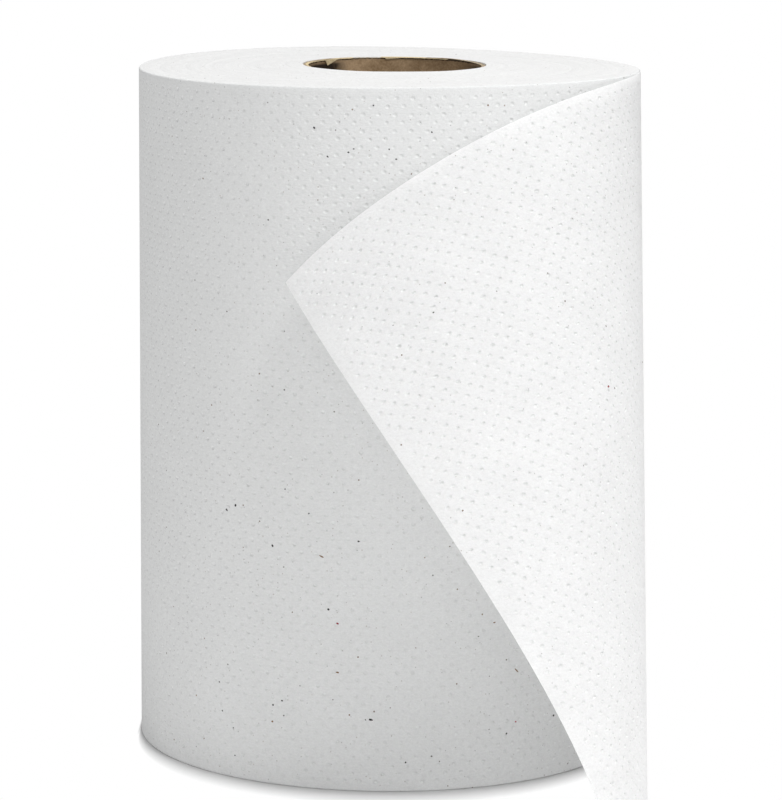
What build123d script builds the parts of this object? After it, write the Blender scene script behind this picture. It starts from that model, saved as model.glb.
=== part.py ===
"""Hard-wound paper towel roll, standing on its end.

A brown paperboard tube carries one long web of white towel paper. The turns lie hard
on each other, and the last stretch of the web hangs loose: it leaves the roll at the
right, stands on its lower edge and curls back across the front.

Frame: origin at the middle of the lower end, +Z up along the tube, -Y towards the
side that the loose end crosses. Millimetres.
"""
import os
from math import cos, radians, sin, sqrt, tan

from build123d import *

# Web of towel paper, wound a little off the tube's axis towards -X
web_width = 203.2
web_thickness = 0.3
roll_diameter = 150.0
winding_shift = 1.5
edge_wander = 0.2

# Tube that it is wound on
tube_bore = 51.8
tube_wall = 1.5
tube_recess = 0.1
tube_clearance = 0.1

# Where the web leaves the roll, as an angle round from +X towards +Y
leaving_angle = -1.2
web_skew = 0.2
root_sink = 0.05
root_overlap = 2.0

# The loose stretch. It bends about parallel lines that lean from upright across the web,
# and its bend radius eases from one of these values to the next along its length.
loose_length = 163.0
bend_lean = 32.1
bend_radii = [98.0, 59.0, 120.0, 93.0]
surface_pitch = 12.0
bend_steps = 60

# Turns that stand back a little in the roll's ends and show as fine rings
ring_count = 3
ring_depth = 0.3
ring_width = 0.7
ring_margin = 6.0

# Axis of the winding, and directions at the leaving line: out of the roll, along the web
# and down the web
winding_centre = Vector(-winding_shift, 0, 0)
outward = Vector(1, 0, 0).rotate(Axis.Z, leaving_angle)
along_web = Vector(0, -1, 0).rotate(Axis.Z, leaving_angle)
along_web = along_web.rotate(Axis((0, 0, 0), outward), -web_skew)
down_web = outward.cross(along_web)

# Directions of the bend lines and of the section square to them
bend_line = along_web * sin(radians(bend_lean)) + down_web * cos(radians(bend_lean))
section_run = along_web * cos(radians(bend_lean)) - down_web * sin(radians(bend_lean))


def wound_outline():
    """Plan of the roll: four quarter turns of falling radius, and the step of the outer lap."""
    drop = web_thickness / 4
    centre = winding_centre
    spoke = outward
    edges = []
    for quarter in range(4):
        radius = roll_diameter / 2 - drop * quarter
        middle = centre + spoke.rotate(Axis.Z, 45) * radius
        end = centre + spoke.rotate(Axis.Z, 90) * radius
        edges.append(Edge.make_three_point_arc(centre + spoke * radius, middle, end))
        spoke = spoke.rotate(Axis.Z, 90)
        centre = centre + spoke * drop
    edges.append(Edge.make_line(end, winding_centre + outward * (roll_diameter / 2)))
    return Face(Wire(edges))


def end_ring(radius, shift, height, side):
    """Cutter for one fine ring, a shallow vee turned about an axis off the tube's by the shift."""
    half = ring_width / 2
    with BuildPart() as ring:
        with BuildSketch(Plane.XZ):
            with BuildLine():
                Polyline(
                    (radius - half, height + side * half),
                    (radius - half, height),
                    (radius, height - side * ring_depth),
                    (radius + half, height),
                    (radius + half, height + side * half),
                    close=True,
                )
            make_face()
        revolve(axis=Axis.Z)
    return ring.part.moved(Location((-shift, 0, 0)))


def rings():
    """Radius and shift of each ring, one to each equal length of wound web."""
    inner = tube_bore / 2 + tube_wall + ring_margin
    outer = roll_diameter / 2 - ring_margin
    places = []
    for i in range(ring_count):
        share = i / (ring_count - 1)
        radius = sqrt(inner**2 + (outer**2 - inner**2) * share)
        places.append((radius, winding_shift * share))
    return places


def bend_angle(run):
    """How far the loose web has turned, in radians, after a run along its upper edge."""
    curvatures = [1 / radius for radius in bend_radii]
    span = loose_length / (len(curvatures) - 1)
    turned = 0.0
    for i in range(len(curvatures) - 1):
        part = min(max(run - i * span, 0), span)
        rise = (curvatures[i + 1] - curvatures[i]) / span
        turned += curvatures[i] * part + rise * part**2 / 2
    return turned / cos(radians(bend_lean))


def section_place(run):
    """Place in the bend's section after a run: on along it, and in from its first line."""
    step = run / bend_steps
    on = 0.0
    inward = 0.0
    for i in range(bend_steps):
        heading = bend_angle(step * (i + 0.5))
        on += cos(heading) * step
        inward += sin(heading) * step
    share = cos(radians(bend_lean))
    return on * share, inward * share


def web_point(run, down, depth):
    """Point of the loose web, from its place in the flat web and its depth in the paper."""
    root = winding_centre + outward * (roll_diameter / 2 - root_sink) + Vector(0, 0, web_width)
    bent_run = run - down * tan(radians(bend_lean))
    on, inward = section_place(max(bent_run, 0))
    on += min(bent_run, 0) * cos(radians(bend_lean))
    line = run * sin(radians(bend_lean)) + down * cos(radians(bend_lean))
    heading = bend_angle(max(bent_run, 0))
    surface_normal = outward * cos(heading) + section_run * sin(heading)
    return root + bend_line * line + section_run * on - outward * inward - surface_normal * depth


def spread(start, end, pitch):
    """Evenly spaced values from start to end, no further apart than the pitch."""
    count = int((end - start) / pitch) + 1
    return [start + (end - start) * i / count for i in range(count + 1)]


def loose_web():
    """The loose stretch as a sheet of the paper's thickness, with its root in the roll."""
    runs = spread(-root_overlap, loose_length, surface_pitch)
    downs = spread(edge_wander, web_width - edge_wander, surface_pitch)
    sheet = Face.make_surface_from_array_of_points(
        [[web_point(run, down, 0) for down in downs] for run in runs]
    )
    return Solid.thicken(sheet, -web_thickness, normal_override=outward)


def make_core_tube():
    """Paperboard tube, open right through, a little short of the roll's upper end."""
    bore = tube_bore / 2
    with BuildPart() as tube:
        with BuildSketch():
            Circle(bore + tube_wall)
            Circle(bore, mode=Mode.SUBTRACT)
        extrude(amount=web_width - tube_recess)
    return tube.part


def make_towel_web():
    """All the turns as one solid, with fine rings in its ends and the loose stretch."""
    bore = tube_bore / 2 + tube_wall + tube_clearance
    roll = Solid.extrude(wound_outline(), Vector(0, 0, web_width))
    roll = roll - Cylinder(bore, 3 * web_width)
    for radius, shift in rings():
        roll = roll - end_ring(radius, shift, web_width, 1)
        roll = roll - end_ring(radius, shift, 0, -1)
    return roll + loose_web()


os.makedirs("parts", exist_ok=True)
export_step(make_core_tube(), "parts/core_tube.step")
export_step(make_towel_web(), "parts/towel_web.step")
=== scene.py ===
"""Looks of the paper towel roll: embossed web, wound ends, paperboard tube and loose end.

Everything is in metres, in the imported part's own frame: the tube's axis is Z, the roll
stands on z = 0 and the loose end crosses the -Y side.
"""
import math

import bpy
import numpy as np
from mathutils import Matrix, Vector


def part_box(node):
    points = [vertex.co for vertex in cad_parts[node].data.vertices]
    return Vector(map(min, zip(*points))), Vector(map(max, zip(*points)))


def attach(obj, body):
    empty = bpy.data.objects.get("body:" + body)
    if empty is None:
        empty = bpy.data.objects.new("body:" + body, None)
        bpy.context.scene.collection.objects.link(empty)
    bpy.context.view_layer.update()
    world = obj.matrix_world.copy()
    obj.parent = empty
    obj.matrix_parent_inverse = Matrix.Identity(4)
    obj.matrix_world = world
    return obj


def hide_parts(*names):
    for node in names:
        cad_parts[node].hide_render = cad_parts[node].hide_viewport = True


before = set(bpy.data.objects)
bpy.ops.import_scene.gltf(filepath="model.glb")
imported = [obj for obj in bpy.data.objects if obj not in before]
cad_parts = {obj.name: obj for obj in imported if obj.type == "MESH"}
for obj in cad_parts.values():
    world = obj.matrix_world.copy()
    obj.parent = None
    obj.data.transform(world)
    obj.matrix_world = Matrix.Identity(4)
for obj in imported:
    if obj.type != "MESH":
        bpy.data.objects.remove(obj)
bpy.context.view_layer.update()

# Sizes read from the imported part
tube_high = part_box("core_tube")[1]
web_low, web_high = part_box("towel_web")
WEB_WIDTH = web_high[2] - web_low[2]
ROLL_RADIUS = web_high[1]
TUBE_OUTER = tube_high[0]
TUBE_RECESS = web_high[2] - tube_high[2]

# Tube, web and loose end, as the part has them
TUBE_WALL = 0.0015
TUBE_CLEARANCE = 0.0001
BORE_RADIUS = TUBE_OUTER + TUBE_CLEARANCE
WEB_THICKNESS = 0.0003
EDGE_WANDER = 0.0002
WINDING_SHIFT = 0.0015
LEAVING_ANGLE = math.radians(-1.2)
WEB_SKEW = math.radians(0.2)
LOOSE_LENGTH = 0.163
BEND_LEAN = math.radians(32.1)
BEND_RADII = (0.098, 0.059, 0.120, 0.093)

# Embossing: a diagonal lattice of soft dimples that leans a little against the web. A
# dimple is given as its half length along the web, its half width and its depth, and is
# shallower where the web is wound. Its wall is steepest at a share of the way out, where
# its normals lean by a multiple of its depth over its reach. Dimples stray a little, along
# the web and down it, and differ in size and in depth.
EMBOSS_COLUMNS = 206
EMBOSS_ROWS = 87
EMBOSS_MARGIN = 0.0030
EMBOSS_LEAN = 0.047
DIMPLE_SIDES = 8
LOOSE_DIMPLE = (0.00092, 0.00068, 0.00037)
WOUND_DIMPLE = (0.00088, 0.00076, 0.00021)
DIMPLE_STEEP = 0.6
DIMPLE_WALL = 2.8
DIMPLE_STRAY = (0.00009, 0.00008)
SIZE_SPREAD = 0.06
DEPTH_SPREAD = 0.22
LEAST_DEPTH = 0.4
COLUMN_PITCH = 2 * math.pi * ROLL_RADIUS / EMBOSS_COLUMNS
ROW_PITCH = (WEB_WIDTH - 2 * EMBOSS_MARGIN) / (EMBOSS_ROWS - 1)

# Meshes: edges sharper than this stay sharp, and the step that normals are measured over
SHARP_ANGLE = math.radians(50)
NORMAL_STEP = 0.00001

# Outer turns: their rounded rims, the depth of their inside, and how many columns beside a
# zigzag side are closed by one face
RIM_START = 0.0016
RIM_ROUND = 0.0005
RIM_STEPS = 4
LAP_DEPTH = 0.0012
SIDE_COLUMNS = 4

# Ends of the roll: relief of the rings, a slow warp round them and a rise at the tube
END_SEGMENTS = 240
END_RINGS = 58
BODY_ROWS = 3
END_RELIEF = 0.00005
RELIEF_FADE = 6
WAVE_ORDERS = np.arange(2, 9)
END_WARP = 0.0004
WARP_WAVES = 2
WARP_TURN = math.radians(240)
WARP_DEPTH = 0.03
CENTRE_RISE = 0.0007
CENTRE_RISE_WIDTH = 0.012
TUBE_SUNK = 0.0002
TUBE_TOP = WEB_WIDTH + CENTRE_RISE - TUBE_RECESS - TUBE_SUNK

# Fine rings in the ends, as the part has them
RING_COUNT = 3
RING_DEPTH = 0.0003
RING_WIDTH = 0.0004
RING_MARGIN = 0.0060

# Paperboard tube: its ragged rim, cut a little askew, and the step at its plies' seam, with
# how steeply the step rises and falls
TUBE_SEGMENTS = 240
TUBE_ROWS = 60
TUBE_RAGGED = 0.00012
TUBE_FRAYED = 0.00004
TUBE_ASKEW = 0.00022
TUBE_CROWN = 0.00008
PLY_LEAD = 0.062
PLY_STEP = 0.00015
SEAM_RISE = 14
SEAM_FALL = 60

# Painted shade on the board: darker at the left and right of its mouth, and in a fine line under its
# rim
MOUTH_SHADE_HIGH = 0.0002
MOUTH_SHADE_LOW = 0.0013
MOUTH_SHADE_RIGHT = 0.76
MOUTH_SHADE_RAGGED = 0.3
MOUTH_SHADE_MIX = (0.72, 0.9)
RIM_SHADE_DEPTH = 0.0004
RIM_SHADE_SOFT = 0.0001
RIM_SHADE_RAGGED = 0.0014
RIM_SHADE_SHARE = 0.9

# Strips torn from the first turn of the web, left folded over the tube's crown
FRINGE_STEP = math.radians(1.2)
FRINGE_DEPTH = 0.00008
FRINGE_UNEVEN = 0.5
FRINGE_THICKNESS = 0.00010
FRINGE_TAPER = 0.06
FRINGE_LEAST = 0.1
TEAR_WIDTH = 0.18
TEAR_STEEP = 6

# Each strip's start, end and tip as angles, and the depth of its tip
TEARS = (
    (math.radians(118), math.radians(198), math.radians(142), 0.0017),
    (math.radians(50), math.radians(99), math.radians(95), 0.0005),
)

# Larger chips of recycled fibre
FLECK_SIDES = 8
FLECK_UNEVEN = 0.25
FLECK_PROUD = 0.00004
FLECK_SUNK = 0.00012

# Colours, linear
PAPER_WHITE = (0.732, 0.737, 0.735, 1.0)
# Painted light: the loose end's paper is the wound paper painted lighter
LOOSE_WHITE_PAINTED_LIGHT = (0.956, 0.956, 0.956, 1.0)
END_WHITE = (0.725, 0.725, 0.722, 1.0)
GREY_CHIP = (0.06, 0.06, 0.065, 1.0)
BROWN_CHIP = (0.22, 0.13, 0.08, 1.0)
BOARD_LIGHT = (0.47, 0.33, 0.20, 1.0)
BOARD_DARK = (0.26, 0.17, 0.09, 1.0)
# Painted shade of the board, at the sides of its mouth and under its rim
BOARD_PAINTED_SHADE = (0.02, 0.013, 0.008, 1.0)
BOARD_CUT = (0.36, 0.29, 0.20, 1.0)
FRINGE_LIGHT = (0.74, 0.62, 0.40, 1.0)
FRINGE_DARK = (0.50, 0.39, 0.23, 1.0)
FLOOR_WHITE = (0.95, 0.95, 0.95, 1.0)
# Painted shade of the floor at the roll's foot, seen in place of the floor's white
FLOOR_PAINTED_SHADE = (0.62, 0.62, 0.62, 1.0)
PLAIN_WHITE = (1.0, 1.0, 1.0, 1.0)

# Share of light that goes through the loose end, and how far out to the front of the tube's
# axis this and the loose end's painted light start and are full
SEEN_THROUGH = 0.6
SETTLE_START = 0.002
SETTLE_END = 0.016

# Patterns: scale, detail and roughness of each noise
CLOUDS = (60.0, 3.0, 0.6)
CREPE = (1.0, 3.0, 0.6)
FIBRE = (3000.0, 2.0, 0.6)
GRAIN = (3200.0, 2.0, 0.6)
TURN_LINES = (1.0, 2.0, 0.6)
FLUFF = (2400.0, 2.0, 0.6)
BOARD_CLOUDS = (120.0, 4.0, 0.65)
BOARD_FIBRES = (1500.0, 3.0, 0.7)
TORN_FIBRES = (1800.0, 3.0, 0.7)
CHIP_FIBRES = (5000.0, 2.0, 0.7)

# Patterns that are stretched first: the crepe, and the lines of the turns and how they waver
CREPE_SCALE = (950.0, 950.0, 1900.0)
LINE_SCALE = 1700.0
WAVER_SCALE = 14.0

# Shade that each pattern gives: its low and high, and the shades at them
CLOUD_TONES = (0.25, 0.75, 0.985, 1.015)
CREPE_TONES = (0.3, 0.7, 0.955, 1.04)
FIBRE_TONES = (0.3, 0.7, 0.965, 1.035)
TURN_TONES = (0.2, 0.8, 0.96, 1.03)

# Low and high of a pattern between which one colour gives way to another
BOARD_MIX = (0.4, 0.6)
CUT_MIX = (0.3, 0.8)
TORN_MIX = (0.3, 0.7)
CHIP_MIX = (0.6, 0.9)

# Relief of each surface, and the share that one of its two patterns has
PAPER_RELIEF = 0.00014
GRAIN_SHARE = 0.3
END_RELIEF_FINE = 0.00012
FLUFF_SHARE = 0.4
BOARD_RELIEF = 0.00006
CLOUD_SHARE = 0.6

# Gloss of the paper and the board
PAPER_ROUGHNESS = 0.95
PAPER_SPECULAR = 0.1
BOARD_ROUGHNESS = 0.85
BOARD_SPECULAR = 0.2

# Small chips in the paper: cells to the metre, pattern, size in a cell, share of cells and
# strength. The loose end has a share of them. Then how far and how finely their outlines
# waver, and how soft they are.
CHIP_KINDS = (
    (700.0, 0.0, 0.16, 0.32, 0.40),
    (420.0, 3.7, 0.13, 0.09, 0.95),
)
LOOSE_CHIPS = 0.35
CHIP_WARP = 0.12
CHIP_WARP_FINENESS = 4
CHIP_SOFT = 0.05

# Sockets of a colour mix node, by number
MIX_SHARE = 0
MIX_FIRST = 6
MIX_SECOND = 7
MIX_RESULT = 2

# Larger chips: run along and place down the web, length, width, and lie in degrees turned
# from back along the web towards its lower edge
FLECKS = {
    "dark_flecks": (
        (0.035, 0.033, 0.036, 1.0),
        (
            (-0.3050, 0.1237, 0.0009, 0.0006, 40),
            (-0.3083, 0.1220, 0.0008, 0.0006, 100),
            (-0.3210, 0.1324, 0.0009, 0.0005, 50),
            (-0.3383, 0.1498, 0.0008, 0.0006, 20),
            (-0.3508, 0.1818, 0.0012, 0.0006, 5),
            (-0.3493, 0.1819, 0.0005, 0.0003, 60),
            (-0.3918, 0.1880, 0.0006, 0.0005, 0),
            (-0.3610, 0.1945, 0.0006, 0.0005, 30),
            (-0.4090, 0.1850, 0.0007, 0.0006, 0),
            (-0.3375, 0.0195, 0.0008, 0.0004, 45),
            (-0.3470, 0.1295, 0.0007, 0.0005, 10),
            (-0.3250, 0.1155, 0.0005, 0.0004, 0),
            (0.1326, 0.0389, 0.0006, 0.0004, 0),
            (-0.3335, 0.0115, 0.0007, 0.0005, 40),
            (-0.3435, 0.0182, 0.0006, 0.0005, 0),
            (-0.3450, 0.0172, 0.0005, 0.0004, 0),
            (-0.3550, 0.0172, 0.0005, 0.0004, 20),
            (-0.3570, 0.0200, 0.0006, 0.0004, 0),
            (-0.3505, 0.0050, 0.0005, 0.0004, 90),
            (-0.3670, 0.0125, 0.0005, 0.0005, 0),
            (-0.3824, 0.1582, 0.0005, 0.0003, 0),
            (-0.3213, 0.1795, 0.0007, 0.0005, 0),
            (-0.3242, 0.1779, 0.0006, 0.0005, 40),
            (-0.3033, 0.1838, 0.0005, 0.0004, 60),
            (-0.3075, 0.1883, 0.0005, 0.0004, 20),
            (-0.3081, 0.1965, 0.0005, 0.0004, 0),
        ),
    ),
    "brown_flecks": (
        (0.20, 0.11, 0.05, 1.0),
        (
            (-0.3362, 0.1344, 0.0014, 0.0004, 25),
            (-0.3411, 0.1682, 0.0010, 0.0005, 5),
            (-0.3211, 0.1845, 0.0006, 0.0005, 0),
            (-0.3950, 0.1695, 0.0020, 0.0004, 45),
            (-0.3874, 0.1545, 0.0008, 0.0004, -15),
        ),
    ),
    "red_flecks": (
        (0.30, 0.04, 0.06, 1.0),
        (
            (-0.3410, 0.1538, 0.0009, 0.0005, 30),
            (-0.3949, 0.1848, 0.0006, 0.0005, 0),
            (0.0946, 0.0798, 0.0008, 0.0006, 0),
        ),
    ),
}

# Stage and lights. A light has a name, its place, what it faces, its side and its watts.
FLOOR_SIDE = 20.0
SHADE_REACH = 0.013
SHADE_SIDE = 0.0006
WORLD_LIGHT = 0.593
LIGHTS = (
    ("key_light", (0.55, -0.55, 1.5), (0.0, 0.0, 0.1), 0.4, 13.4),
    ("top_light", (0.1, -0.1, 1.8), (0.0, 0.0, 0.1), 0.5, 3.5),
    ("front_light", (0.0, -1.5, 0.3), (0.0, 0.0, 0.1), 0.8, 2.0),
)

# Camera and image
IMAGE_LONG_SIDE = 800
SENSOR_WIDTH = 36.0
CLIP_START = 0.01
CLIP_END = 100.0
FOCAL_PIXELS = 3736.0
CAMERA_DISTANCE = 1.1185
CAMERA_HEIGHT = 0.2947
CAMERA_PITCH = math.radians(9.78)
CAMERA_YAW = math.radians(-0.06)
CAMERA_ROLL = math.radians(0.41)

SEED = 41
rng = np.random.default_rng(SEED)

# Directions: up, out of the roll at the leaving line, along and down the web, and its bend's
UP = np.array([0.0, 0.0, 1.0])
OUTWARD = np.array([math.cos(LEAVING_ANGLE), math.sin(LEAVING_ANGLE), 0.0])
LEVEL_ALONG = np.array([math.sin(LEAVING_ANGLE), -math.cos(LEAVING_ANGLE), 0.0])
ALONG_WEB = LEVEL_ALONG * math.cos(WEB_SKEW) + UP * math.sin(WEB_SKEW)
DOWN_WEB = LEVEL_ALONG * math.sin(WEB_SKEW) - UP * math.cos(WEB_SKEW)
BEND_LINE = ALONG_WEB * math.sin(BEND_LEAN) + DOWN_WEB * math.cos(BEND_LEAN)
SECTION_RUN = ALONG_WEB * math.cos(BEND_LEAN) - DOWN_WEB * math.sin(BEND_LEAN)
WINDING_CENTRE = np.array([-WINDING_SHIFT, 0.0, 0.0])


def bend_tables(samples=2000):
    """Heading and place in the bend's section, sampled along the loose end's upper edge."""
    runs = np.linspace(0, LOOSE_LENGTH, samples)
    stations = np.linspace(0, LOOSE_LENGTH, len(BEND_RADII))
    curvature = np.interp(runs, stations, [1 / radius for radius in BEND_RADII])
    step = runs[1]
    heading = np.concatenate([[0], np.cumsum((curvature[1:] + curvature[:-1]) / 2 * step)])
    heading = heading / math.cos(BEND_LEAN)
    middle = (heading[1:] + heading[:-1]) / 2
    on = np.concatenate([[0], np.cumsum(np.cos(middle) * step)]) * math.cos(BEND_LEAN)
    inward = np.concatenate([[0], np.cumsum(np.sin(middle) * step)]) * math.cos(BEND_LEAN)
    return runs, heading, on, inward


BEND_RUNS, BEND_HEADING, BEND_ON, BEND_INWARD = bend_tables()


def loose_place(run, down, depth):
    """Points of the loose end, from their places in the flat web and depth in the paper."""
    bent_run = run - down * math.tan(BEND_LEAN)
    bent = np.maximum(bent_run, 0)
    heading = np.interp(bent, BEND_RUNS, BEND_HEADING)
    on = np.interp(bent, BEND_RUNS, BEND_ON) + np.minimum(bent_run, 0) * math.cos(BEND_LEAN)
    inward = np.interp(bent, BEND_RUNS, BEND_INWARD)
    line = run * math.sin(BEND_LEAN) + down * math.cos(BEND_LEAN)
    root = WINDING_CENTRE + OUTWARD * ROLL_RADIUS + UP * WEB_WIDTH
    normal = np.cos(heading)[:, None] * OUTWARD + np.sin(heading)[:, None] * SECTION_RUN
    place = root + line[:, None] * BEND_LINE + on[:, None] * SECTION_RUN
    return place - inward[:, None] * OUTWARD - depth[:, None] * normal


def end_warp(angle):
    """How far the upper end stands off its plane: a slow wave round it."""
    return END_WARP * np.cos(WARP_WAVES * angle - WARP_TURN)


def wound_place(run, down, depth):
    """Points of the wound web: run is negative, counted back from the leaving line."""
    angle = LEAVING_ANGLE - run / ROLL_RADIUS
    radius = ROLL_RADIUS + WEB_THICKNESS * run / (2 * math.pi * ROLL_RADIUS) - depth
    height = WEB_WIDTH - down
    across = np.stack([radius * np.cos(angle), radius * np.sin(angle), height], axis=1)
    return across + WINDING_CENTRE


def unit(vectors):
    """Vectors of length one, from rows of vectors."""
    return vectors / np.linalg.norm(vectors, axis=1)[:, None]


def web_place(run, down, depth):
    """Points of the web, wound before the leaving line and loose after it."""
    run, down, depth = (np.asarray(value, dtype=float) for value in (run, down, depth))
    is_loose = (run > 0)[:, None]
    place = np.where(is_loose, loose_place(run, down, depth), wound_place(run, down, depth))
    angle = LEAVING_ANGLE - np.minimum(run, 0) / ROLL_RADIUS
    warp = end_warp(angle) * np.exp(-down / WARP_DEPTH - np.maximum(run, 0) / WARP_DEPTH)
    return place + warp[:, None] * UP


class WebDraft:
    """Points in web places, and faces, gathered for one mesh."""

    def __init__(self):
        self.flat = []
        self.tilts = []
        self.faces = []

    def point(self, run, down, depth, tilt=(0.0, 0.0, 0.0)):
        """Adds a point. A tilt is how its normal leans along and down the web, and its side."""
        self.flat.append((run, down, depth))
        self.tilts.append(tilt)
        return len(self.flat) - 1

    def face(self, corners, facing):
        self.faces.append(corners if facing > 0 else corners[::-1])

    def strip(self, first, second, facing):
        """Quads between two rows of points. The second row lies further down the web."""
        for i in range(len(first) - 1):
            self.face((first[i], first[i + 1], second[i + 1], second[i]), facing)

    def outer_strip(self, near, far, facing, upper):
        """Quads from a row of points out to one nearer the upper or lower end."""
        if upper:
            self.strip(far, near, facing)
        else:
            self.strip(near, far, facing)

    def places(self):
        flat = np.array(self.flat)
        return web_place(flat[:, 0], flat[:, 1], flat[:, 2])

    def normals(self):
        """Normals of the points that have a tilt, and zeros for the rest."""
        run, down, depth = np.array(self.flat).T
        along, lower, side = np.array(self.tilts).T
        step = NORMAL_STEP
        run_line = unit(web_place(run + step, down, depth) - web_place(run - step, down, depth))
        down_line = unit(web_place(run, down + step, depth) - web_place(run, down - step, depth))
        normal = unit(np.cross(run_line, down_line))
        leaned = normal + along[:, None] * run_line + lower[:, None] * down_line
        return unit(leaned) * side[:, None]


def row_down(row):
    """How far down the web a lattice row lies. The rows past the lattice end it at the rims."""
    if row < 0:
        return RIM_START
    if row >= EMBOSS_ROWS:
        return WEB_WIDTH - RIM_START
    return EMBOSS_MARGIN + row * ROW_PITCH


def lattice_run(column, down):
    """Run along the web at which a lattice column lies, at a place down it."""
    return column * COLUMN_PITCH + EMBOSS_LEAN * (down - WEB_WIDTH / 2)


def corner_column(run, row):
    """The lattice corner nearest to a run in a row. Corners alternate with dimples."""
    odd = (row + 1) % 2
    column = (run - EMBOSS_LEAN * (row_down(row) - WEB_WIDTH / 2)) / COLUMN_PITCH
    return 2 * math.floor((column - odd) / 2 + 0.5) + odd


def corner_columns(run):
    """The lattice corner nearest to a run in each row, which is a zigzag down the web."""
    return [corner_column(run, row) for row in range(EMBOSS_ROWS)]


# Scatter of each dimple along the web and down it, in size and in depth
dimple_scatter = rng.normal(size=(3 * EMBOSS_COLUMNS, EMBOSS_ROWS, 4))


def dimple(column, row):
    """Centre, half length and width, and depth of one dimple, each a little uneven."""
    away, lower, size, depth = dimple_scatter[column + 2 * EMBOSS_COLUMNS, row]
    stray_along, stray_down = DIMPLE_STRAY
    down = row_down(row) + stray_down * lower
    run = lattice_run(column, down) + stray_along * away
    usual_length, usual_width, usual_depth = LOOSE_DIMPLE if column > 0 else WOUND_DIMPLE
    uneven = 1 + SIZE_SPREAD * size
    reach = (usual_length * uneven, usual_width * uneven)
    return (run, down), reach, usual_depth * max(LEAST_DEPTH, 1 + DEPTH_SPREAD * depth)


def dimple_ring(draft, centre, reach, share, depth, wall, side):
    """One ring of a dimple, at a share of its reach. Its normals lean in as steeply as its wall."""
    run, down = centre
    along, across = reach
    ring = []
    for k in range(DIMPLE_SIDES):
        turn = 2 * math.pi * k / DIMPLE_SIDES
        away, lower = math.cos(turn), math.sin(turn)
        tilt = (-wall * away / along, -wall * lower / across, side)
        place = (run + share * along * away, down + share * across * lower)
        ring.append(draft.point(*place, depth, tilt))
    return ring


def add_dimple(draft, column, row, corners, layer, facing, fine):
    """One diamond cell of the lattice: its four corners, one or two rings and the centre."""
    centre, reach, depth = dimple(column, row)
    outer = dimple_ring(draft, centre, reach, 1.0, layer, 0.0, facing if fine else 0.0)
    ring = outer
    if fine:
        wall = DIMPLE_WALL * depth
        ring = dimple_ring(draft, centre, reach, DIMPLE_STEEP, layer + depth / 2, wall, facing)
        for k in range(DIMPLE_SIDES):
            after = (k + 1) % DIMPLE_SIDES
            draft.face((outer[k], outer[after], ring[after], ring[k]), facing)
    floor = draft.point(*centre, layer + depth)
    for k in range(DIMPLE_SIDES):
        draft.face((floor, ring[k], ring[(k + 1) % DIMPLE_SIDES]), facing)
    around = [
        corners[column + 1, row],
        corners[column, row + 1],
        corners[column - 1, row],
        corners[column, row - 1],
    ]
    quarter = DIMPLE_SIDES // len(around)
    for m, corner in enumerate(around):
        k = m * quarter
        draft.face((corner, outer[k + 1], outer[k]), facing)
        draft.face((corner, outer[k], outer[k - 1]), facing)
        draft.face((corner, around[(m + 1) % len(around)], outer[k + 1]), facing)


def add_corners(draft, corners, row, columns, layer):
    """Adds the lattice's corners in some columns of a row, and keeps them by column and row."""
    down = row_down(row)
    for column in columns:
        corners[column, row] = draft.point(lattice_run(column, down), down, layer)


def close_row(draft, corners, row, beside, columns, facing):
    """Triangles between the lattice's last row of corners and the straight row that ends it."""
    for column in columns[::2]:
        corner = corners[column, beside]
        if column > columns[0]:
            draft.face((corners[column - 1, row], corners[column, row], corner), facing)
        if column < columns[-1]:
            draft.face((corners[column, row], corners[column + 1, row], corner), facing)


def emboss_patch(draft, left, right, layer, facing, fine):
    """Embossed stretch of web between two zigzags of lattice corners, one corner to a row.

    Returns its bounding points: the top and bottom rows, and the left and right columns.
    """
    corners = {}
    for row in range(EMBOSS_ROWS):
        add_corners(draft, corners, row, range(left[row], right[row] + 1, 2), layer)
    edges = {}
    for row, beside, side in ((-1, 0, facing), (EMBOSS_ROWS, EMBOSS_ROWS - 1, -facing)):
        columns = range(left[beside], right[beside] + 1)
        add_corners(draft, corners, row, columns, layer)
        close_row(draft, corners, row, beside, columns, side)
        edges[row] = [corners[column, row] for column in columns]
    for row in range(EMBOSS_ROWS):
        for column in range(left[row] + 1, right[row], 2):
            add_dimple(draft, column, row, corners, layer, facing, fine)
    left_column = [corners[left[row], row] for row in range(EMBOSS_ROWS)]
    right_column = [corners[right[row], row] for row in range(EMBOSS_ROWS)]
    return edges[-1], edges[EMBOSS_ROWS], left_column, right_column


def give_normals(mesh, normals):
    """Sets the normals of the points that have one of their own, and keeps the mesh's elsewhere."""
    points = np.empty(len(mesh.loops), dtype=int)
    mesh.loops.foreach_get("vertex_index", points)
    usual = np.empty(3 * len(mesh.loops))
    mesh.corner_normals.foreach_get("vector", usual)
    own = normals.any(axis=1)
    corners = np.where(own[points][:, None], normals[points], usual.reshape(-1, 3))
    mesh.normals_split_custom_set([tuple(corner) for corner in corners])


def make_object(name, places, faces, material, normals=None):
    """Mesh piece, smooth up to sharp edges."""
    mesh = bpy.data.meshes.new(name)
    mesh.from_pydata([tuple(place) for place in places], [], faces)
    mesh.validate()
    mesh.materials.append(material)
    mesh.shade_smooth()
    mesh.set_sharp_from_angle(angle=SHARP_ANGLE)
    if normals is not None:
        give_normals(mesh, normals)
    piece = bpy.data.objects.new(name, mesh)
    bpy.context.scene.collection.objects.link(piece)
    return piece


def rim_profile():
    """Places round the outer edge of an end: how far in from it, and how deep, rim to inside."""
    profile = []
    for step in range(RIM_STEPS + 1):
        turn = math.pi / 2 * step / RIM_STEPS
        profile.append((RIM_ROUND * (1 - math.sin(turn)), RIM_ROUND * (1 - math.cos(turn))))
    return profile


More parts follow.
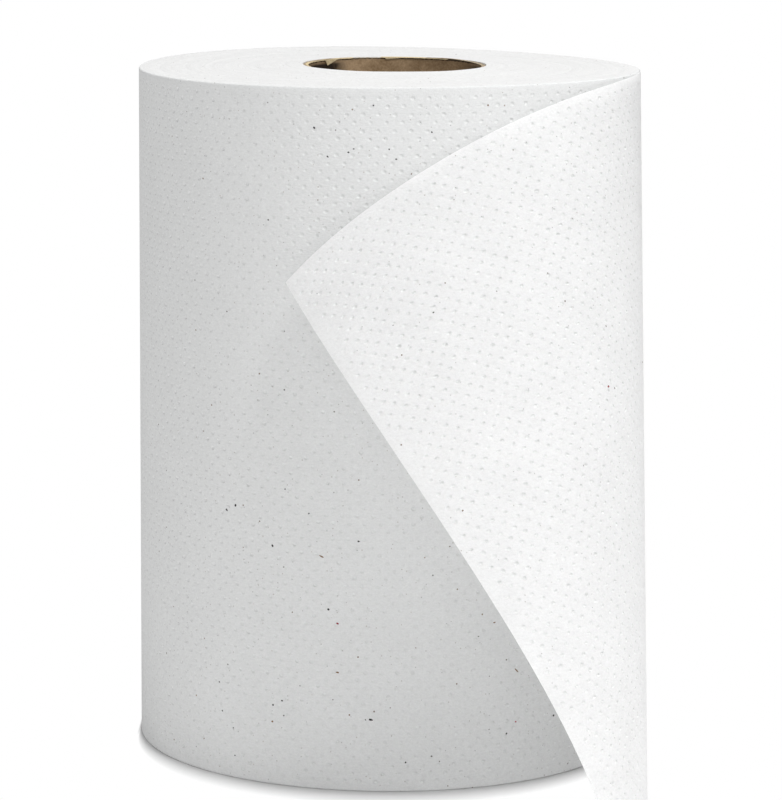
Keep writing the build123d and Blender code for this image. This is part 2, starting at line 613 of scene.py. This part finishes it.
def add_rim(draft, edge, upper):
    """Rounds the outer turns over at one end, from the lattice's edge row to their inside."""
    rows = [edge]
    for inset, depth in rim_profile():
        down = inset if upper else WEB_WIDTH - inset
        rows.append([draft.point(draft.flat[i][0], down, depth) for i in edge])
    down = 0.0 if upper else WEB_WIDTH
    runs = [draft.flat[i][0] for i in edge]
    rows.append([draft.point(run, down, inside_depth(run)) for run in runs])
    for near, far in zip(rows, rows[1:]):
        draft.outer_strip(near, far, 1, upper)
    return rows


def inside_depth(run):
    """Depth of the outer turns' inside, which keeps one radius while the web winds in."""
    return LAP_DEPTH + WEB_THICKNESS * run / (2 * math.pi * ROLL_RADIUS)


def close_turns(draft, upper, lower, column, near, facing):
    """Wall across the outer turns at one zigzag side, and the face of their inside beside it.

    Near gives the points of the rims' last rows that this face takes in, from the side on.
    """
    end = near[0]
    inner = []
    for i in column:
        run, down = draft.flat[i][:2]
        inner.append(draft.point(run, down, inside_depth(run)))
    for i in range(len(column) - 1):
        draft.face((column[i], column[i + 1], inner[i + 1], inner[i]), facing)
    draft.face([row[end] for row in upper[::-1]] + [column[0], inner[0]], facing)
    draft.face([column[-1]] + [row[end] for row in lower] + [inner[-1]], facing)
    band = [upper[-1][i] for i in near] + [lower[-1][i] for i in near[::-1]]
    draft.face(band + inner[::-1], -facing)


def make_outer_turns(name, left, right, material):
    """Half of the outermost turns: embossed outside, rounded rims and a plain inside."""
    draft = WebDraft()
    top, bottom, left_column, right_column = emboss_patch(draft, left, right, 0.0, 1, True)
    upper = add_rim(draft, top, True)
    lower = add_rim(draft, bottom, False)
    between = slice(SIDE_COLUMNS, -SIDE_COLUMNS)
    draft.strip(lower[-1][between], upper[-1][between], 1)
    left_points = range(SIDE_COLUMNS + 1)
    right_points = range(-1, -SIDE_COLUMNS - 2, -1)
    close_turns(draft, upper, lower, left_column, left_points, 1)
    close_turns(draft, upper, lower, right_column, right_points, -1)
    return make_object(name, draft.places(), draft.faces, material, draft.normals())


def add_straight_edge(draft, row, down, layer, facing, upper):
    """Carries a row of points out to the web's straight edge, and returns the edge's points."""
    edge = [draft.point(draft.flat[i][0], down, layer) for i in row]
    draft.outer_strip(row, edge, facing, upper)
    return edge


def add_loose_side(draft, left, right, layer, facing, fine):
    """One side of the loose end, out to its straight edges. Returns its bounding loop."""
    top, bottom, left_column, right_column = emboss_patch(draft, left, right, layer, facing, fine)
    beside = [top[-1]] + right_column + [bottom[-1]]
    end = []
    for row in range(-1, EMBOSS_ROWS + 1):
        end.append(draft.point(LOOSE_LENGTH, row_down(row), layer))
    for i in range(len(end) - 1):
        draft.face((beside[i], end[i], end[i + 1], beside[i + 1]), facing)
    lowest = WEB_WIDTH - EDGE_WANDER
    upper_edge = add_straight_edge(draft, top + end[:1], EDGE_WANDER, layer, facing, True)
    lower_edge = add_straight_edge(draft, bottom + end[-1:], lowest, layer, facing, False)
    left_side = [top[0]] + left_column + [bottom[0]]
    return upper_edge + end + lower_edge[::-1] + left_side[::-1]


def make_loose_end(left, material):
    """The loose stretch of web, embossed through, so that dimples outside are bumps inside."""
    right = []
    for row in range(EMBOSS_ROWS):
        away = LOOSE_LENGTH - EDGE_WANDER - EMBOSS_LEAN * (row_down(row) - WEB_WIDTH / 2)
        odd = (row + 1) % 2
        right.append(2 * math.floor((away / COLUMN_PITCH - odd) / 2) + odd)
    draft = WebDraft()
    outer = add_loose_side(draft, left, right, 0.0, 1, True)
    inner = add_loose_side(draft, left, right, WEB_THICKNESS, -1, False)
    for i in range(len(outer)):
        after = (i + 1) % len(outer)
        draft.face((outer[after], outer[i], inner[i], inner[after]), 1)
    return make_object("loose_end", draft.places(), draft.faces, material, draft.normals())


def ring_faces(rows):
    """Quads between closed rings of points, given as rows of indices."""
    faces = []
    for first, second in zip(rows, rows[1:]):
        for i in range(len(first)):
            after = (i + 1) % len(first)
            faces.append((second[i], second[after], first[after], first[i]))
    return faces


def turned_mesh(name, profile, segments, material):
    """Closed mesh turned from a function that gives a closed profile at each angle.

    A profile is a row of points, which runs outwards over the top, down the outside and
    back on the inside.
    """
    columns = [profile(2 * math.pi * k / segments) for k in range(segments)]
    count = len(columns[0])
    places = np.array(columns).transpose(1, 0, 2).reshape(-1, 3)
    rows = [[r * segments + k for k in range(segments)] for r in range(count)]
    return make_object(name, places, ring_faces(rows + rows[:1]), material)


def smooth_waves(count, scale):
    """Slow random waves round the roll, one set to each ring: their strengths and phases."""
    strength = rng.normal(size=(count, len(WAVE_ORDERS))) * scale / np.sqrt(WAVE_ORDERS)
    phase = rng.uniform(0, 2 * math.pi, size=(count, len(WAVE_ORDERS)))
    return strength, phase


def waves_at(waves, angle):
    """Height of each ring's waves at an angle."""
    strength, phase = waves
    return (strength * np.cos(WAVE_ORDERS * angle + phase)).sum(axis=1)


def groove_depth(radius):
    """Fine rings where turns stand back, one to each equal length of wound web."""
    inner = TUBE_OUTER + RING_MARGIN
    outer = ROLL_RADIUS - RING_MARGIN
    depth = np.zeros_like(radius)
    for i in range(RING_COUNT):
        middle = math.sqrt(inner**2 + (outer**2 - inner**2) * i / (RING_COUNT - 1))
        depth += RING_DEPTH * np.exp(-(((radius - middle) / RING_WIDTH) ** 2))
    return depth


def make_inner_turns(material):
    """The wound turns inside the outer ones, their edges showing as fine rings in both ends."""
    outer = ROLL_RADIUS - LAP_DEPTH
    share = np.linspace(0, 1, END_RINGS)
    radii = BORE_RADIUS + (outer - BORE_RADIUS) * share
    ring_relief = rng.normal(size=END_RINGS) * END_RELIEF
    level = 1 - share**RELIEF_FADE
    waves = smooth_waves(END_RINGS, END_RELIEF)
    rise = CENTRE_RISE * np.exp(-((radii - BORE_RADIUS) / CENTRE_RISE_WIDTH) ** 2)
    fixed = rise + ring_relief * level - groove_depth(radii)
    body = np.linspace(0, 1, BODY_ROWS + 2)[1:-1]

    def profile(angle):
        shift = WINDING_SHIFT * share
        x = radii * math.cos(angle) - shift
        y = radii * math.sin(angle)
        wave = waves_at(waves, angle) * level
        top = WEB_WIDTH + fixed + wave + end_warp(angle) * share
        low = np.abs(ring_relief * level + wave) + groove_depth(radii)
        upper = np.stack([x, y, top], axis=1)
        lower = np.stack([x, y, low], axis=1)[::-1]
        outside = upper[-1] + (lower[0] - upper[-1]) * body[:, None]
        inside = lower[-1] + (upper[0] - lower[-1]) * body[:, None]
        return np.concatenate([upper, outside, lower, inside])

    return turned_mesh("inner_turns", profile, END_SEGMENTS, material)


def tube_top(angle):
    """Height of the tube's upper end, which is cut a little askew and stands higher at the back."""
    return TUBE_TOP + TUBE_ASKEW * math.sin(angle)


def make_tube(material):
    """Spirally wound paperboard tube: ply seams in both walls and a slightly ragged rim."""
    bore = TUBE_OUTER - TUBE_WALL
    heights = np.linspace(0, 1, TUBE_ROWS + 1)
    ragged = smooth_waves(1, TUBE_RAGGED)
    frayed = rng.normal(size=TUBE_SEGMENTS) * TUBE_FRAYED

    def seam(angle, height):
        """Height of the wall over its lowest place, with a step where two plies meet."""
        turn = (angle / (2 * math.pi) + height / PLY_LEAD) % 1
        rise = np.clip(turn * SEAM_RISE, 0, 1)
        return PLY_STEP * rise * np.clip((1 - turn) * SEAM_FALL, 0, 1)

    def profile(angle):
        rim = waves_at(ragged, angle)[0] + frayed[int(angle / (2 * math.pi) * TUBE_SEGMENTS)]
        z = heights * (tube_top(angle) + rim)
        inner = bore + seam(angle, z)
        outer = TUBE_OUTER - PLY_STEP + seam(angle, z)
        middle = (inner[-1] + outer[-1]) / 2
        turning = np.array([math.cos(angle), math.sin(angle)])
        inside = np.concatenate([inner[:, None] * turning, z[:, None]], axis=1)
        outside = np.concatenate([outer[:, None] * turning, z[:, None]], axis=1)[::-1]
        crown = np.array([[*(middle * turning), z[-1] + TUBE_CROWN]])
        foot = np.array([[*(middle * turning), 0.0]])
        return np.concatenate([inside, crown, outside, foot])

    return turned_mesh("core_tube_board", profile, TUBE_SEGMENTS, material)


def tear_section(angle, hang):
    """Six points round a torn strip at an angle, where it hangs this far below the crown."""
    inner = TUBE_OUTER - TUBE_WALL - FRINGE_THICKNESS
    middle = TUBE_OUTER - TUBE_WALL / 2
    crown = tube_top(angle) + TUBE_CROWN
    section = (
        (inner, crown - hang),
        (inner, crown - TUBE_CROWN),
        (middle, crown + FRINGE_THICKNESS),
        (middle, crown),
        (inner + FRINGE_THICKNESS, crown - TUBE_CROWN),
        (inner + FRINGE_THICKNESS, crown - hang),
    )
    return [(radius * math.cos(angle), radius * math.sin(angle), high) for radius, high in section]


def add_tear(places, faces, start, end, tip, depth):
    """One torn strip, folded down into the bore from the tube's crown.

    It slants down to its tip on one side and ends steeply on the other.
    """
    rings = []
    for angle in np.arange(end, start, -FRINGE_STEP):
        from_tip = (angle - tip) / TEAR_WIDTH
        torn = depth * max(0, min(1 + from_tip, 1 - TEAR_STEEP * from_tip))
        far_taper = (end - angle) / FRINGE_TAPER + FRINGE_LEAST
        taper = min(1, (angle - start) / FRINGE_TAPER, far_taper)
        ragged = FRINGE_DEPTH * (1 + FRINGE_UNEVEN * abs(rng.normal()))
        section = tear_section(angle, TUBE_CROWN + (ragged + torn) * taper)
        rings.append([len(places) + k for k in range(len(section))])
        places.extend(section)
    faces.extend(ring_faces(rings))
    faces.append(rings[0])
    faces.append(rings[-1][::-1])


def make_fringe(material):
    """Strips of the web's first turn, torn and left at the tube's crown."""
    places = []
    faces = []
    for tear in TEARS:
        add_tear(places, faces, *tear)
    return make_object("torn_fringe", places, faces, material)


def fleck_outline(length, width):
    """Outline of one chip, a little irregular."""
    points = []
    for k in range(FLECK_SIDES):
        turn = 2 * math.pi * k / FLECK_SIDES
        reach = 1 + FLECK_UNEVEN * rng.uniform(-1, 1)
        points.append((length / 2 * math.cos(turn) * reach, width / 2 * math.sin(turn) * reach))
    return points


def make_flecks(name, flecks, material):
    """Chips of recycled fibre that lie in the web's surface."""
    draft = WebDraft()
    for run, down, length, width, turn in flecks:
        lie = math.radians(-turn)
        rings = []
        for layer in (-FLECK_PROUD, FLECK_SUNK):
            ring = []
            for along, across in fleck_outline(length, width):
                away = along * math.cos(lie) - across * math.sin(lie)
                lower = along * math.sin(lie) + across * math.cos(lie)
                ring.append(draft.point(run + away, down + lower, layer))
            rings.append(ring)
        upper, lower = rings
        draft.face(tuple(upper), 1)
        draft.face(tuple(lower), -1)
        for k in range(FLECK_SIDES):
            after = (k + 1) % FLECK_SIDES
            draft.face((upper[after], upper[k], lower[k], lower[after]), 1)
    return make_object(name, draft.places(), draft.faces, material)


class Shader:
    """Node tree of one material, with short ways to add and link nodes."""

    def __init__(self, name):
        self.material = bpy.data.materials.new(name)
        self.material.use_nodes = True
        self.tree = self.material.node_tree
        self.tree.nodes.clear()
        self.output = self.tree.nodes.new("ShaderNodeOutputMaterial")
        self.place = self.node("ShaderNodeTexCoord").outputs["Object"]

    def node(self, kind, **values):
        """Adds a node. Sockets are set by name or number, and links are given as sockets."""
        made = self.tree.nodes.new(kind)
        sockets = values.pop("sockets", {})
        for name, value in values.items():
            setattr(made, name, value)
        for name, value in sockets.items():
            self.put(made.inputs[name], value)
        return made

    def put(self, socket, value):
        if isinstance(value, bpy.types.NodeSocket):
            self.tree.links.new(value, socket)
        elif socket.type == "VECTOR":
            socket.default_value = value[:3]
        else:
            socket.default_value = value

    def math(self, operation, *values):
        sockets = dict(enumerate(values))
        return self.node("ShaderNodeMath", operation=operation, sockets=sockets).outputs[0]

    def vector(self, operation, first, second):
        """Vector maths. The second value is a number for SCALE, and a vector for the rest."""
        sockets = {0: first, "Scale" if operation == "SCALE" else 1: second}
        return self.node("ShaderNodeVectorMath", operation=operation, sockets=sockets).outputs[0]

    def axes(self, vector):
        return self.node("ShaderNodeSeparateXYZ", sockets={0: vector}).outputs

    def noise(self, vector, scale, detail=2.0, roughness=0.5):
        sockets = {"Vector": vector, "Scale": scale, "Detail": detail, "Roughness": roughness}
        return self.node("ShaderNodeTexNoise", sockets=sockets).outputs["Fac"]

    def ramp(self, value, low, high, start=0.0, end=1.0):
        """Value carried from the range low..high to start..end, and held at its ends."""
        sockets = {"Value": value, "From Min": low, "From Max": high, "To Min": start, "To Max": end}
        return self.node("ShaderNodeMapRange", clamp=True, sockets=sockets).outputs["Result"]

    def mix(self, share, first, second):
        sockets = {MIX_SHARE: share, MIX_FIRST: first, MIX_SECOND: second}
        return self.node("ShaderNodeMix", data_type="RGBA", sockets=sockets).outputs[MIX_RESULT]

    def bump(self, height, distance):
        sockets = {"Height": height, "Distance": distance, "Strength": 1.0}
        return self.node("ShaderNodeBump", sockets=sockets).outputs["Normal"]

    def finish(
        self, colour, normal, roughness=PAPER_ROUGHNESS, specular=PAPER_SPECULAR, through=None
    ):
        """Links the surface. A share of the light goes through it where one is given."""
        sockets = {
            "Base Color": colour,
            "Normal": normal,
            "Roughness": roughness,
            "Specular IOR Level": specular,
        }
        surface = self.node("ShaderNodeBsdfPrincipled", sockets=sockets).outputs[0]
        if through is not None:
            glow = self.node("ShaderNodeBsdfTranslucent", sockets={"Color": colour, "Normal": normal})
            shares = {0: through, 1: surface, 2: glow.outputs[0]}
            surface = self.node("ShaderNodeMixShader", sockets=shares).outputs[0]
        self.put(self.output.inputs["Surface"], surface)
        return self.material


def small_chips(shader, cells, seed, size, rarity):
    """Where small chips of recycled fibre show, in rare cells of a random pattern, and their hue."""
    place = shader.vector("ADD", shader.place, (seed, seed, seed))
    warp = shader.noise(place, cells * CHIP_WARP_FINENESS, detail=1.0)
    sockets = {"Vector": place, "Scale": cells, "Randomness": 1.0}
    voronoi = shader.node("ShaderNodeTexVoronoi", sockets=sockets)
    away = shader.math("ADD", voronoi.outputs["Distance"], shader.math("MULTIPLY", warp, CHIP_WARP))
    near = shader.ramp(away, size, size + CHIP_SOFT, 1.0, 0.0)
    chance = shader.node("ShaderNodeSeparateColor", sockets={"Color": voronoi.outputs["Color"]})
    picked = shader.math("LESS_THAN", chance.outputs["Red"], rarity)
    return shader.math("MULTIPLY", near, picked), chance.outputs["Green"]


def crepe_pattern(shader):
    """Fine crepe of the paper: short flat creases that run along the web."""
    return shader.noise(shader.vector("MULTIPLY", shader.place, CREPE_SCALE), *CREPE)


def paper_colour(shader, base, chips=1.0):
    """Off-white of recycled towel paper: faint clouds, crepe, fine fibre and small chips."""
    clouds = shader.noise(shader.place, *CLOUDS)
    crepe = crepe_pattern(shader)
    fibre = shader.noise(shader.place, *FIBRE)
    shade = 1.0
    for pattern, tones in ((clouds, CLOUD_TONES), (crepe, CREPE_TONES), (fibre, FIBRE_TONES)):
        shade = shader.math("MULTIPLY", shade, shader.ramp(pattern, *tones))
    colour = shader.vector("SCALE", base, shade)
    for cells, seed, size, rarity, strength in CHIP_KINDS:
        share, hue = small_chips(shader, cells, seed, size, rarity * chips)
        chip = shader.mix(hue, GREY_CHIP, BROWN_CHIP)
        colour = shader.mix(shader.math("MULTIPLY", share, strength), colour, chip)
    return colour


def paper_normal(shader):
    """Fine crepe and fibre grain of the paper."""
    grain = shader.noise(shader.place, *GRAIN)
    height = shader.math("MULTIPLY_ADD", grain, GRAIN_SHARE, crepe_pattern(shader))
    return shader.bump(height, PAPER_RELIEF)


def make_wound_paper():
    """Embossed towel paper on the roll: matt, with many layers behind it."""
    shader = Shader("towel_paper")
    return shader.finish(paper_colour(shader, PAPER_WHITE), paper_normal(shader))


def make_loose_paper():
    """One layer of the towel paper, which lets light through and is painted lighter once it is clear of
    the roll: painted light.
    """
    shader = Shader("loose_paper")
    clear = shader.ramp(shader.axes(shader.place)["Y"], -SETTLE_END, -SETTLE_START, 1.0, 0.0)
    # Painted light: the paper turns lighter than on the roll once it is clear of it
    white = shader.mix(clear, PAPER_WHITE, LOOSE_WHITE_PAINTED_LIGHT)
    colour = paper_colour(shader, white, LOOSE_CHIPS)
    through = shader.math("MULTIPLY", clear, SEEN_THROUGH)
    return shader.finish(colour, paper_normal(shader), through=through)


def axis_distance(shader):
    """Distance from the winding's axis."""
    axes = shader.axes(shader.place)
    across = shader.math("ADD", axes["X"], WINDING_SHIFT)
    square = shader.math("MULTIPLY", across, across)
    return shader.math("SQRT", shader.math("MULTIPLY_ADD", axes["Y"], axes["Y"], square))


def make_end_paper():
    """Edges of the wound turns: fine concentric lines of cut paper."""
    shader = Shader("wound_edges")
    waver = shader.vector("SCALE", shader.place, WAVER_SCALE)
    lines = shader.math("MULTIPLY", axis_distance(shader), LINE_SCALE)
    across = shader.node("ShaderNodeCombineXYZ", sockets={"X": lines}).outputs[0]
    turns = shader.noise(shader.vector("ADD", waver, across), *TURN_LINES)
    fluff = shader.noise(shader.place, *FLUFF)
    height = shader.math("MULTIPLY_ADD", fluff, FLUFF_SHARE, turns)
    shade = shader.ramp(turns, *TURN_TONES)
    colour = shader.vector("SCALE", paper_colour(shader, END_WHITE), shade)
    return shader.finish(colour, shader.bump(height, END_RELIEF_FINE))


def mouth_shade_share(shader, axes, clouds):
    """Where the board carries painted shade: at the left and right of the bore's mouth, under its rim.
    """
    left = shader.math("MULTIPLY", axes["X"], -1.0)
    right = shader.math("MULTIPLY", axes["X"], MOUTH_SHADE_RIGHT)
    side = shader.math("DIVIDE", shader.math("MAXIMUM", left, right), TUBE_OUTER - TUBE_WALL)
    ragged = shader.math("MULTIPLY_ADD", clouds, MOUTH_SHADE_RAGGED, side)
    high = shader.ramp(axes["Z"], TUBE_TOP - MOUTH_SHADE_LOW, TUBE_TOP - MOUTH_SHADE_HIGH, 1.0, 0.0)
    return shader.math("MULTIPLY", high, shader.ramp(ragged, *MOUTH_SHADE_MIX))


def rim_shade_share(shader, axes, fibres):
    """Where the board carries painted shade: a fine ragged line just under its rim."""
    level = shader.math("MULTIPLY_ADD", axes["Y"], -TUBE_ASKEW / TUBE_OUTER, axes["Z"])
    uneven = shader.math("MULTIPLY_ADD", fibres, RIM_SHADE_RAGGED, level)
    edge = TUBE_TOP - RIM_SHADE_DEPTH + RIM_SHADE_RAGGED / 2
    return shader.ramp(uneven, edge - RIM_SHADE_SOFT, edge + RIM_SHADE_SOFT, 0.0, RIM_SHADE_SHARE)


def make_board():
    """Brown paperboard: clouds and fibres, painted shade at the sides of its mouth and under the rim,
    and paler on the cut end.
    """
    shader = Shader("paperboard")
    axes = shader.axes(shader.place)
    clouds = shader.noise(shader.place, *BOARD_CLOUDS)
    fibres = shader.noise(shader.place, *BOARD_FIBRES)
    scaled = shader.math("MULTIPLY", clouds, CLOUD_SHARE)
    both = shader.math("MULTIPLY_ADD", fibres, 1 - CLOUD_SHARE, scaled)
    wall = shader.mix(shader.ramp(both, *BOARD_MIX), BOARD_DARK, BOARD_LIGHT)
    # Painted shade at the left and right of the bore's mouth
    wall = shader.mix(mouth_shade_share(shader, axes, clouds), wall, BOARD_PAINTED_SHADE)
    # Painted shade in a fine ragged line under the rim
    wall = shader.mix(rim_shade_share(shader, axes, fibres), wall, BOARD_PAINTED_SHADE)
    upward = shader.axes(shader.node("ShaderNodeNewGeometry").outputs["Normal"])["Z"]
    colour = shader.mix(shader.ramp(upward, *CUT_MIX), wall, BOARD_CUT)
    return shader.finish(colour, shader.bump(both, BOARD_RELIEF), BOARD_ROUGHNESS, BOARD_SPECULAR)


def make_fringe_paper():
    """Cream fibres of the torn first turn."""
    shader = Shader("torn_paper")
    fibres = shader.noise(shader.place, *TORN_FIBRES)
    colour = shader.mix(shader.ramp(fibres, *TORN_MIX), FRINGE_DARK, FRINGE_LIGHT)
    return shader.finish(colour, shader.bump(fibres, PAPER_RELIEF))


def make_chip_paper(name, colour):
    """Surface of the larger chips: flat colour broken by fine fibre."""
    shader = Shader(name)
    fibres = shader.noise(shader.place, *CHIP_FIBRES)
    broken = shader.mix(shader.ramp(fibres, *CHIP_MIX), colour, PAPER_WHITE)
    return shader.finish(broken, shader.bump(fibres, PAPER_RELIEF))


def background_share(tree):
    """One for the rays that show the plain background: the camera's, and those off gloss or glass."""
    path = tree.nodes.new("ShaderNodeLightPath")
    share = path.outputs["Is Camera Ray"]
    for ray in ("Is Glossy Ray", "Is Transmission Ray"):
        either = tree.nodes.new("ShaderNodeMath")
        either.operation = "MAXIMUM"
        tree.links.new(share, either.inputs[0])
        tree.links.new(path.outputs[ray], either.inputs[1])
        share = either.outputs[0]
    return share


def beyond_shadow(shader):
    """Share of plain white on the floor: none at the roll's foot, and all where its shadow ends.

    The shadow reaches out to the front and back, and hardly to the sides.
    """
    axes = shader.axes(shader.place)
    across = shader.math("ADD", axes["X"], WINDING_SHIFT)
    inside = shader.math("SUBTRACT", ROLL_RADIUS**2, shader.math("MULTIPLY", across, across))
    foot = shader.math("SQRT", shader.math("MAXIMUM", inside, 0.0))
    beyond = shader.math("SUBTRACT", shader.math("ABSOLUTE", axes["Y"]), foot)
    front = shader.ramp(beyond, 0.0, SHADE_REACH)
    side = shader.ramp(shader.math("ABSOLUTE", across), ROLL_RADIUS, ROLL_RADIUS + SHADE_SIDE)
    return shader.math("MAXIMUM", front, side)


def make_floor_paint():
    """White floor with the shadow at the roll's foot, deepened there by painted shade, which runs out
    into plain white.
    """
    shader = Shader("floor")
    seen = background_share(shader.tree)
    # Painted shade: rays that show the background see a darker floor than the light does
    colour = shader.mix(seen, FLOOR_WHITE, FLOOR_PAINTED_SHADE)
    paint = shader.node("ShaderNodeBsdfDiffuse", sockets={"Color": colour}).outputs[0]
    glow = shader.node("ShaderNodeEmission", sockets={"Color": PLAIN_WHITE, "Strength": 1.0}).outputs[0]
    sockets = {0: shader.math("MULTIPLY", beyond_shadow(shader), seen), 1: paint, 2: glow}
    both = shader.node("ShaderNodeMixShader", sockets=sockets)
    shader.put(shader.output.inputs["Surface"], both.outputs[0])
    return shader.material


def make_floor():
    """Wide white floor under the roll."""
    mesh = bpy.data.meshes.new("floor")
    half = FLOOR_SIDE / 2
    corners = [(-half, -half, 0), (half, -half, 0), (half, half, 0), (-half, half, 0)]
    mesh.from_pydata(corners, [], [(0, 1, 2, 3)])
    mesh.materials.append(make_floor_paint())
    floor = bpy.data.objects.new("floor", mesh)
    bpy.context.scene.collection.objects.link(floor)


def make_world():
    """Even white surround, softer as a light than it shows."""
    world = bpy.data.worlds.new("surround")
    world.use_nodes = True
    tree = world.node_tree
    tree.nodes.clear()
    output = tree.nodes.new("ShaderNodeOutputWorld")
    mixer = tree.nodes.new("ShaderNodeMixShader")
    sources = [background_share(tree)]
    for strength in (WORLD_LIGHT, 1.0):
        background = tree.nodes.new("ShaderNodeBackground")
        background.inputs["Color"].default_value = PLAIN_WHITE
        background.inputs["Strength"].default_value = strength
        sources.append(background.outputs[0])
    for source, socket in zip(sources, mixer.inputs):
        tree.links.new(source, socket)
    tree.links.new(mixer.outputs[0], output.inputs["Surface"])
    bpy.context.scene.world = world


def add_area_light(name, place, aim, side, watts):
    """Square soft light at a place, turned to face another."""
    data = bpy.data.lights.new(name, "AREA")
    data.shape = "SQUARE"
    data.size = side
    data.energy = watts
    light = bpy.data.objects.new(name, data)
    light.location = place
    light.rotation_mode = "QUATERNION"
    light.rotation_quaternion = (Vector(aim) - Vector(place)).to_track_quat("-Z", "Y")
    bpy.context.scene.collection.objects.link(light)


def make_camera():
    """Camera in front of the roll, higher than its upper end and tilted down to it."""
    data = bpy.data.cameras.new("camera")
    data.sensor_fit = "AUTO"
    data.sensor_width = SENSOR_WIDTH
    data.lens = FOCAL_PIXELS / IMAGE_LONG_SIDE * SENSOR_WIDTH
    data.clip_start = CLIP_START
    data.clip_end = CLIP_END
    camera = bpy.data.objects.new("camera", data)
    camera.location = (-WINDING_SHIFT, -CAMERA_DISTANCE, CAMERA_HEIGHT)
    turned = Matrix.Rotation(CAMERA_YAW, 3, "Z")
    pitched = Matrix.Rotation(math.pi / 2 - CAMERA_PITCH, 3, "X")
    rolled = Matrix.Rotation(CAMERA_ROLL, 3, "Z")
    camera.rotation_mode = "QUATERNION"
    camera.rotation_quaternion = (turned @ pitched @ rolled).to_quaternion()
    bpy.context.scene.collection.objects.link(camera)
    bpy.context.scene.camera = camera


def settle(piece, node):
    """Sets a piece in the frame: carried by the roll, in place of a part's node, which it hides."""
    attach(piece, "root")
    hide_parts(node)


def build():
    """Makes every piece, the stage, the lights and the camera."""
    paper = make_wound_paper()
    single = make_loose_paper()
    seam = corner_columns(0.0)
    middle = [column - EMBOSS_COLUMNS // 2 + 1 for column in seam]
    start = [column - EMBOSS_COLUMNS for column in seam]
    back = make_outer_turns("outer_turns_back", middle, seam, paper)
    front = make_outer_turns("outer_turns_front", start, middle, paper)
    loose = make_loose_end(seam, single)
    inner = make_inner_turns(make_end_paper())
    fringe = make_fringe(make_fringe_paper())
    tube = make_tube(make_board())
    for piece in (back, front, loose, inner, fringe):
        settle(piece, "towel_web")
    settle(tube, "core_tube")
    for name, (colour, flecks) in FLECKS.items():
        chips = make_flecks(name, flecks, make_chip_paper(name, colour))
        settle(chips, "towel_web")
    make_floor()
    make_world()
    for light in LIGHTS:
        add_area_light(*light)
    make_camera()


build()
scene = bpy.context.scene
scene.view_settings.view_transform = "Standard"
scene.view_settings.look = "None"
